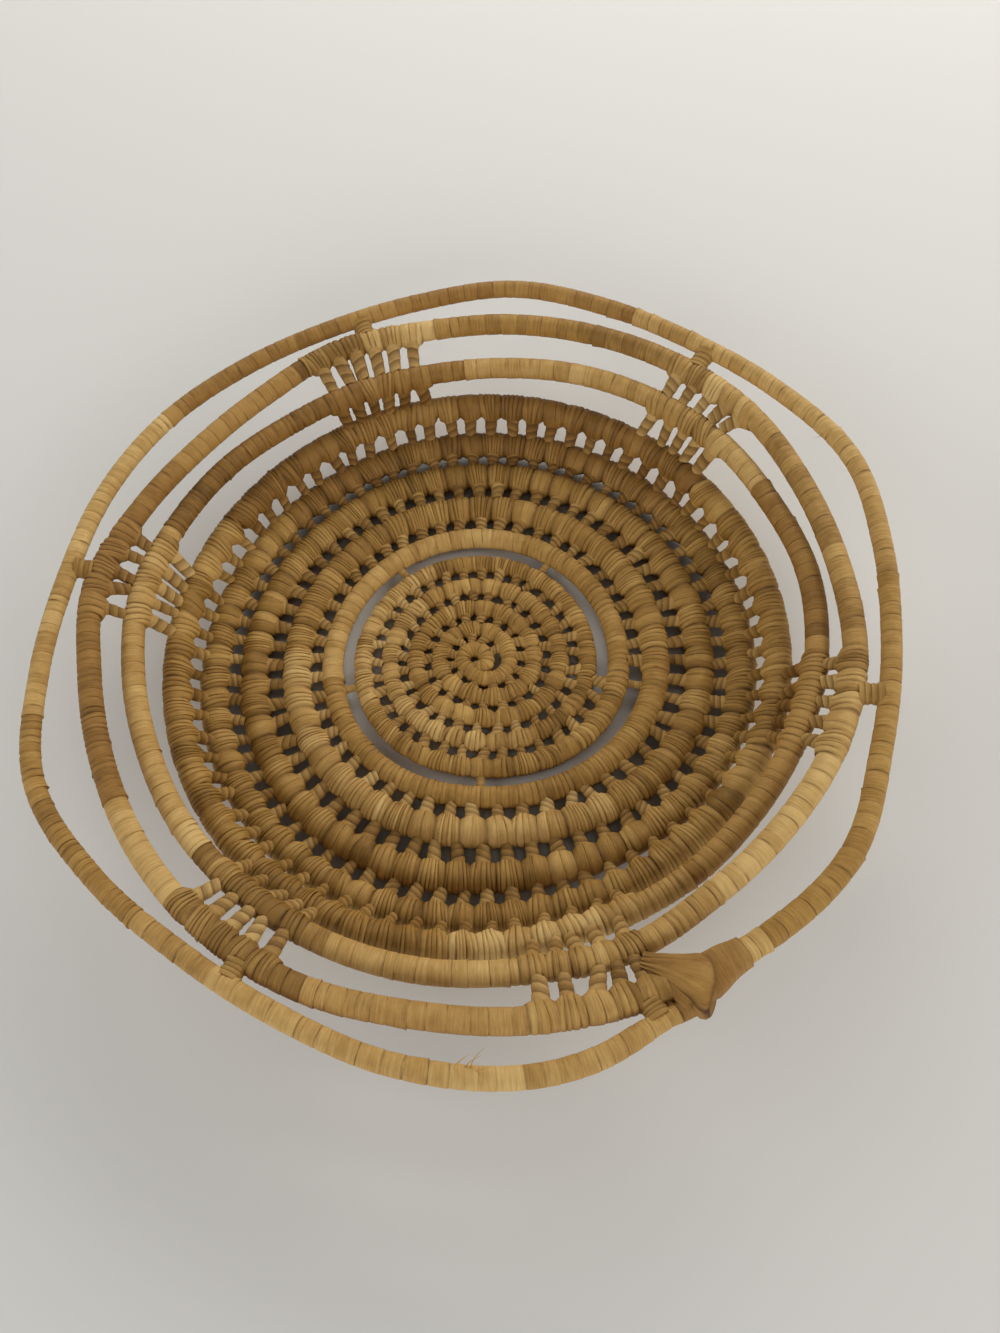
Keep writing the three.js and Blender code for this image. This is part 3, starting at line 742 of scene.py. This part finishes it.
def leaf_material(name, pale, middle, dark):
    """Dried leaf: fibres that run round the coil, blotches, and painted shade along the grooves between
    wraps and in creases.
    """
    material = bpy.data.materials.new(name)
    material.use_nodes = True
    nodes, links = material.node_tree.nodes, material.node_tree.links
    shader = nodes["Principled BSDF"]
    shader.inputs["Roughness"].default_value = LEAF_ROUGHNESS
    shader.inputs["Specular IOR Level"].default_value = LEAF_SHEEN

    def node(kind, **settings):
        made = nodes.new(kind)
        for key, value in settings.items():
            setattr(made, key, value)
        return made

    def noise(vector, scale, detail, roughness):
        made = node("ShaderNodeTexNoise")
        made.inputs["Scale"].default_value = scale
        made.inputs["Detail"].default_value = detail
        made.inputs["Roughness"].default_value = roughness
        links.new(vector, made.inputs["Vector"])
        return made.outputs["Fac"]

    def maths(operation, *values):
        made = node("ShaderNodeMath", operation=operation)
        for socket, value in zip(made.inputs, values):
            if isinstance(value, (int, float)):
                socket.default_value = value
            else:
                links.new(value, socket)
        return made.outputs[0]

    tone, edge_shade, crease = (
        node("ShaderNodeAttribute", attribute_name=label).outputs["Fac"]
        for label in ("tone", "edge_shade", "crease")
    )
    uv = node("ShaderNodeUVMap", uv_map="leaf")
    stretch = node("ShaderNodeMapping")
    stretch.inputs["Scale"].default_value = STREAK_STRETCH
    links.new(uv.outputs["UV"], stretch.inputs["Vector"])
    streak = noise(stretch.outputs["Vector"], *STREAK_NOISE)
    place = node("ShaderNodeTexCoord").outputs["Object"]
    blotch = maths("MULTIPLY_ADD", noise(place, *BLOTCH_NOISE), BLOTCH_SHARE, TONE_SHIFT)
    total = maths("ADD", tone, maths("MULTIPLY_ADD", streak, STREAK_SHARE, blotch))
    ramp = node("ShaderNodeValToRGB")
    ramp.color_ramp.elements[0].position = DARK_AT
    ramp.color_ramp.elements[0].color = (*dark, 1)
    ramp.color_ramp.elements[1].position = PALE_AT
    ramp.color_ramp.elements[1].color = (*pale, 1)
    ramp.color_ramp.elements.new(MIDDLE_AT).color = (*middle, 1)
    links.new(total, ramp.inputs["Fac"])
    # Painted shade: the colour is darkened towards the shade colour along the grooves between wraps and
    # in creases.
    shadow = node("ShaderNodeMixRGB", blend_type="MULTIPLY")
    shadow.inputs["Color2"].default_value = SHADE_COLOUR
    links.new(ramp.outputs["Color"], shadow.inputs["Color1"])
    lines = maths("POWER", edge_shade, LINE_POWER)
    links.new(maths("MAXIMUM", lines, maths("MULTIPLY", crease, CREASE_SHADE)), shadow.inputs["Fac"])
    links.new(shadow.outputs["Color"], shader.inputs["Base Color"])
    bump = node("ShaderNodeBump")
    bump.inputs["Strength"].default_value = BUMP_STRENGTH
    bump.inputs["Distance"].default_value = BUMP_DEPTH
    links.new(streak, bump.inputs["Height"])
    links.new(bump.outputs["Normal"], shader.inputs["Normal"])
    return material


LEAF = {slot: leaf_material(*colours) for slot, colours in LEAF_COLOURS.items()}


def finish_piece(winding, name, node):
    piece = winding.build(name, LEAF[SLOT_OF[node]])
    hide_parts(node)


# The core: dry stems, which show only in the gaps between strips. Where it starts, how far short of the
# end of the coil it stops, and the distance of its rings. Its width in parts of the coil's, its tone, how
# deep in shadow it is, and its length round.
CORE_START, CORE_SHORT, CORE_STEP, CORE_SIDES = 0.4, 15, 3.0, 8
CORE_WIDTH, CORE_TONE, CORE_SHADOW, CORE_ROUND = 0.72, 0.3, 0.7, 18
core = Winding()
core_s = np.arange(length_at(0) + CORE_START, length_at(LAST_TURN) - CORE_SHORT, CORE_STEP)
count = len(core_s)
core_places = np.repeat(core_s[:, None], CORE_SIDES + 1, 1)
core_reach = along_coil(core_places, W_TABLE) * CORE_WIDTH
core_points = round_coil(core_places, core_reach, circle(CORE_SIDES)[None])
core.add(core_points, np.full(count, CORE_TONE), np.zeros(count), np.full(count, CORE_SHADOW), core_s,
         CORE_ROUND)
finish_piece(core, "grass_core", "core_coil")

# The strips of leaf with their stitches. Where the very first strip starts, how far a strip reaches back
# and on past its splices, and how far short of the end of the coil the last one stops, inside the knot.
FIRST_START, STRIP_BACK, STRIP_ON, STRIP_SHORT = 0.2, 0.5, 0.45, 12
# How loosely stitches lean in a bunch and in a seam, and their tone.
LOOSE_BUNCH, LOOSE_SEAM = 1.3, 0.8
STITCH_TONE = (0.62, 0.15)
# Loose hairs on the rim: bearing, way along the rim, out and up, length.
RIM_HAIRS = [
    (261.0, (0.25, -0.7, 0.9), 6.5), (261.5, (-0.2, -0.5, 1.0), 8.0), (262.2, (0.5, -0.8, 0.6), 5.0),
    (262.8, (0.1, -0.9, 0.7), 7.0), (263.3, (0.9, -0.4, 0.7), 4.5), (20.0, (-0.5, -0.9, 0.1), 5.5),
]
for row, (name, *_, splices) in enumerate(ROWS):
    starts = [clear_of_stitches(turn_at(row, bearing)) for bearing in [ROW_START] + splices]
    starts.append(clear_of_stitches(turn_at(row + 1, ROW_START)))
    for i, (first, last) in enumerate(zip(starts[:-1], starts[1:])):
        rng = random.Random(STRIP_SEEDS * row + i)
        node = f"{name}_strip_{i + 1}"
        inside = [t for t in STITCHES if first < t < last]
        towards = {}
        for turn in inside:
            (*_, side, rise, _), _, way, _ = link(turn)
            towards[length_at(turn)] = math.atan2(way.dot(rise), way.dot(side))
        start = length_at(first) - STRIP_BACK if row else FIRST_START
        end = length_at(last) + (STRIP_ON if last < LAST_TURN - END_ROOM else -STRIP_SHORT)
        winding = Winding()
        add_strip(winding, start, end, row, list(towards), towards, rng)
        loose = LOOSE_BUNCH if row in BUNCHED_HOOPS else LOOSE_SEAM
        for turn in inside:
            add_stitch(winding, turn, WRAPPING[row][NECK_COLUMN], loose, rng.gauss(*STITCH_TONE), rng)
        for bearing, (on, out, up), length in RIM_HAIRS if row == LAST_ROW else []:
            turn = turn_at(row, bearing)
            if first < turn < last:
                centre, ahead, side, rise, reach = spot_on_coil(turn)
                way = unit(on * ahead + out * side + up * rise)
                across = unit(way - ahead * way.dot(ahead))
                add_hair(winding, centre + across * (reach - HAIR_ROOT), way, HAIR_BEND * ahead, length)
        finish_piece(winding, f"leaf_{node}", node)

# The ties. A medallion tie past the bearing where rows start hangs on the end of its row.
for label, row, neck, bearings in TIES:
    for i, bearing in enumerate(bearings):
        rng = random.Random(TIE_SEED + row * TIE_SEEDS + i)
        own_row = row + 1 if label == "medallion_tie" and bearing > ROW_START else row
        winding = Winding()
        add_tie(winding, turn_at(own_row, bearing), neck, rng)
        finish_piece(winding, f"leaf_{label}_{i + 1}", f"{label}_{i + 1}")

# The knot: broad leaf that is drawn from the hoop inside over the end of the coil, and a sleeve that
# tapers on to the hoop that runs on. Its places are given along the coil and out from its middle.
KNOT_AT = 291.8
KNOT_SIDES = 78
# The broad leaf, from its gathered end: its upper and its lower edge, half its thickness, its height.
KNOT_LEAF = [
    ((-11.9, -18.9), (-15.9, -15.2), 2.4, 1.2),
    ((-10.3, -17.1), (-14.4, -12.6), 3.0, 1.2),
    ((-8.0, -15.3), (-13.0, -9.4), 4.2, 1.0),
    ((-5.4, -13.2), (-11.8, -5.6), 5.2, 0.8),
    ((-2.8, -11.4), (-10.8, -1.4), 5.8, 0.7),
    ((-1.1, -10.3), (-9.8, 2.2), 6.3, 0.6),
    ((-0.2, -9.8), (-9.0, 5.8), 6.6, 0.6),
    ((0.3, -9.5), (-7.8, 6.9), 6.6, 0.6),
    ((0.4, -9.2), (-6.2, 7.0), 6.0, 0.4),
    ((0.0, -8.6), (-5.8, 6.2), 4.8, 0.2),
]
# It lies on a second leaf that shows along its lower edge. Of that leaf and of the broad one: how far it
# stands out, how much shorter and thinner it is, how round its edge is, where the painted shade along its
# edge runs, and its tone.
KNOT_LAYERS = [(-3.6, 3.2, 1.6, 0.6, 3.14, 0.46), (0, 0, 0, 0.45, 2.8, 0.6)]
# Pleats: how many, how deep, and over how many of the leaf's rings they run out. Their hollows get
# painted shade.
KNOT_PLEATS, PLEAT_DEPTH, PLEAT_RUN = 13, 0.15, 2.6
# How far the leaf bows and how round it is from edge to edge. Rings over which it bows, and from which
# and over which the second leaf comes out from under it.
KNOT_BOW, LEAF_ROUND = 4.6, 0.9
BOW_RUN, LAYER_FROM, LAYER_RUN = 7, 2, 4
# The painted shade along the fold at the leaf's edge: how dark, how wide, rings from which and over which
# it sets in, and the ring from which it moves over and how far. Then the painted shade of the last rings,
# at the end of the leaf.
EDGE_SHADE, EDGE_WIDTH, EDGE_FROM, EDGE_RUN = 0.9, 0.14, 1, 2
EDGE_MOVES_FROM, EDGE_MOVES = 5, 0.1
END_SHADES = (0, 0.2, 0.75, 0.5)
# Ripples: how high, and how close along x and y. How much paler the leaf gets, its length and its girth.
RIPPLE, RIPPLE_X, RIPPLE_Y = 0.25, 0.9, 0.7
LEAF_PALER, LEAF_LENGTH, LEAF_GIRTH = 0.1, 27, 24
# The sleeve: how far along, half its length across, half its thickness, and its painted shade line. Then
# how far it starts off the hoop, where it has come on to it, how round it is, its tones and its girth.
KNOT_SLEEVE = [
    (-9.0, 6.4, 4.2, 0.6), (-4.0, 6.9, 4.8, 0.2), (1.0, 6.8, 5.2, 0.2), (4.0, 6.3, 5.1, 0),
    (7.0, 5.75, 4.95, 0), (8.8, 5.4, 4.86, 0.1), (9.0, 5.3, 4.8, 0.35), (10.8, 5.05, 4.76, 0.1),
    (11.0, 4.95, 4.7, 0.4), (12.8, 4.75, 4.64, 0.1), (14.2, 4.65, 4.56, 0.3), (14.5, 4.2, 4.2, 0.8),
]
SLEEVE_OFF, SLEEVE_RUN, SLEEVE_ROUND = 1.4, 9, 0.6
SLEEVE_TONES, SLEEVE_GIRTH = ([0, 4, len(KNOT_SLEEVE)], [0.5, 0.55, 0.95]), 45
# A band round the end of the coil and a thin tie beside it: how far before the knot, and the band's half
# length, lift and tone, and half the width of the tie.
END_BAND = (11.5, 2.6, 0.5, 0.6)
END_TIE = (14.8, 1.8)


def squared(wave, power):
    """A wave round a ring with fuller shoulders."""
    return np.sign(wave) * np.abs(wave) ** power


knot = Winding()
knot_turn = turn_at(LAST_ROW - 1, KNOT_AT)
inner, ahead, side, rise, _ = spot_on_coil(knot_turn)
outer = coil_centre(knot_turn + 1)[0]
out = unit(outer - inner)
ahead = unit(ahead - out * ahead.dot(out))
up = np.cross(out, ahead)
up *= np.sign(up[2])
knot_angle = circle(KNOT_SIDES)
leaf_across = squared(np.cos(knot_angle), LEAF_ROUND)
pleat = np.sin(KNOT_PLEATS * knot_angle)
count = len(KNOT_LEAF)
for shift, shorter, thinner, roundness, line_at, tone in KNOT_LAYERS:
    leaf_over = squared(np.sin(knot_angle), roundness)
    leaf_rings, leaf_shade = [], []
    for i, (upper, lower, thick, height) in enumerate(KNOT_LEAF):
        shown = ease((i - LAYER_FROM) / LAYER_RUN)
        upper = ahead * upper[0] + out * upper[1]
        lower = ahead * (lower[0] + shift * shown) + out * (lower[1] - shorter * shown)
        gathered = max(0, 1 - i / PLEAT_RUN)
        size = 1 + PLEAT_DEPTH * gathered * pleat
        middle = (inner + outer) / 2 + (upper + lower) / 2 + up * height
        bow = np.outer(KNOT_BOW * ease(i / BOW_RUN) * (1 - leaf_across ** 2), ahead)
        across = np.outer(leaf_across * size, (upper - lower) / 2)
        over = np.outer(leaf_over * ((thick - thinner * shown) * size), up)
        leaf_rings.append(middle + bow + across + over)
        # Painted shade: in the hollows of the pleats at the gathered end, along the fold at the leaf's
        # edge, and at the end of the leaf.
        edge_at = knot_angle - line_at - EDGE_MOVES * max(0, i - EDGE_MOVES_FROM)
        fold_shade = EDGE_SHADE * ease((i - EDGE_FROM) / EDGE_RUN) * np.exp(-(edge_at / EDGE_WIDTH) ** 2)
        end_shade = END_SHADES[max(0, i + len(END_SHADES) - count)]
        leaf_shade.append(np.clip(gathered * np.clip(-pleat, 0, 1) + fold_shade + end_shade, 0, 1))
    leaf_rings = np.array(leaf_rings)
    leaf_rings[..., 2] += (
        RIPPLE * np.sin(leaf_rings[..., 0] * RIPPLE_X) * np.cos(leaf_rings[..., 1] * RIPPLE_Y)
    )
    knot.add(leaf_rings, np.linspace(tone, tone + LEAF_PALER, count), leaf_shade, np.zeros(count),
             np.linspace(0, LEAF_LENGTH, count), LEAF_GIRTH, lengthwise=True)
sleeve_rings = []
knot_s = length_at(knot_turn)
tilt = math.atan2(out.dot(rise), out.dot(side))
sleeve_over = squared(np.sin(knot_angle), SLEEVE_ROUND)
for on, half, thick, _ in KNOT_SLEEVE:
    place = np.array([knot_s + on])
    centre, side, rise = (along_coil(place, table)[0] for table in (C_TABLE, SIDE, RISE))
    across = math.cos(tilt) * side + math.sin(tilt) * rise
    over = math.cos(tilt) * rise - math.sin(tilt) * side
    centre = centre + across * SLEEVE_OFF * float(1 - ease(on / SLEEVE_RUN))
    ring = centre + np.outer(half * np.cos(knot_angle), across) + np.outer(thick * sleeve_over, over)
    sleeve_rings.append(ring)
count = len(KNOT_SLEEVE)
knot.add(np.array(sleeve_rings), np.interp(np.arange(count), *SLEEVE_TONES),
         [line for *_, line in KNOT_SLEEVE], np.zeros(count), np.array([on for on, *_ in KNOT_SLEEVE]),
         SLEEVE_GIRTH)
rng = random.Random(KNOT_SEED)
end_turn = knot_turn + 1
add_band(knot, length_at(end_turn) - END_BAND[0], *END_BAND[1:], rng)
add_tie(knot, end_turn - turns_for(END_TIE[0], end_turn), END_TIE[1], rng)
finish_piece(knot, "leaf_end_knot", "end_knot")

# The floor: half its width in metres.
FLOOR_SIZE = 4
floor_mesh = bpy.data.meshes.new("floor")
bm = bmesh.new()
bmesh.ops.create_grid(bm, x_segments=1, y_segments=1, size=FLOOR_SIZE)
bm.to_mesh(floor_mesh)
bm.free()
floor = bpy.data.objects.new("floor", floor_mesh)
bpy.context.scene.collection.objects.link(floor)
floor_finish = bpy.data.materials.new("pale_floor")
floor_finish.use_nodes = True
floor_shader = floor_finish.node_tree.nodes["Principled BSDF"]
floor_shader.inputs["Base Color"].default_value = (0.7, 0.69, 0.66, 1)
floor_shader.inputs["Roughness"].default_value = 0.8
floor_mesh.materials.append(floor_finish)

# A studio with pale walls and a dim ceiling, so that little light falls straight into the holes.
world = bpy.data.worlds.new("studio")
world.use_nodes = True
world_nodes, world_links = world.node_tree.nodes, world.node_tree.links
world_nodes["Background"].inputs["Color"].default_value = (1, 0.985, 0.96, 1)
heading = world_nodes.new("ShaderNodeTexCoord")
parts = world_nodes.new("ShaderNodeSeparateXYZ")
walls = world_nodes.new("ShaderNodeMapRange")
for socket, value in (("From Min", 0.05), ("From Max", 0.5), ("To Min", 0.62), ("To Max", 0.12)):
    walls.inputs[socket].default_value = value
world_links.new(heading.outputs["Generated"], parts.inputs["Vector"])
world_links.new(parts.outputs["Z"], walls.inputs["Value"])
world_links.new(walls.outputs["Result"], world_nodes["Background"].inputs["Strength"])
bpy.context.scene.world = world

# Wide, low soft lights, aimed at the origin: place and size in metres, power, colour.
LAMPS = [
    ("window", (0.3, 1.0, 0.62), (1.4, 0.5), 8.5, (1, 0.98, 0.94)),
    ("left_wall", (-1.35, 0.1, 0.75), (1.6, 0.6), 7.5, (0.98, 0.99, 1)),
    ("right_wall", (1.35, 0.2, 0.75), (1.6, 0.6), 10, (1, 0.98, 0.94)),
    ("front_wall", (0, -1.8, 1.0), (2.0, 0.8), 19, (1, 0.99, 0.97)),
]
ORIGIN = Vector((0, 0, 0))
for name, place, size, power, colour in LAMPS:
    light = bpy.data.lights.new(name, "AREA")
    light.shape = "RECTANGLE"
    light.size, light.size_y = size
    light.energy = power
    light.color = colour
    lamp = bpy.data.objects.new(name, light)
    lamp.location = place
    lamp.rotation_euler = (ORIGIN - Vector(place)).to_track_quat("-Z", "Y").to_euler()
    bpy.context.scene.collection.objects.link(lamp)

# The camera: how steeply it looks down, how far off it is and how far it is rolled, and what it looks at,
# in metres. The long side of the picture, the length of the lens and how far the view is shifted, all in
# pixels.
ELEVATION, DISTANCE, ROLL = math.radians(63.4), 0.400, math.radians(-8.68)
TARGET = Vector((0, 0, 0.005))
LONG_SIDE, LENS_LENGTH = 1333, 1000
SHIFT_X, SHIFT_Y = 25.64, -8.07
SENSOR = 36
camera_data = bpy.data.cameras.new("camera")
camera = bpy.data.objects.new("camera", camera_data)
bpy.context.scene.collection.objects.link(camera)
eye = TARGET + DISTANCE * Vector((0, -math.cos(ELEVATION), math.sin(ELEVATION)))
camera_data.sensor_width = SENSOR
camera_data.lens = SENSOR * LENS_LENGTH / LONG_SIDE
camera_data.shift_x = SHIFT_X / LONG_SIDE
camera_data.shift_y = SHIFT_Y / LONG_SIDE
camera_data.clip_start = 0.01
turned = (TARGET - eye).to_track_quat("-Z", "Y").to_matrix().to_4x4() @ Matrix.Rotation(ROLL, 4, "Z")
camera.matrix_world = Matrix.Translation(eye) @ turned
bpy.context.scene.camera = camera
bpy.context.scene.view_settings.view_transform = "Standard"
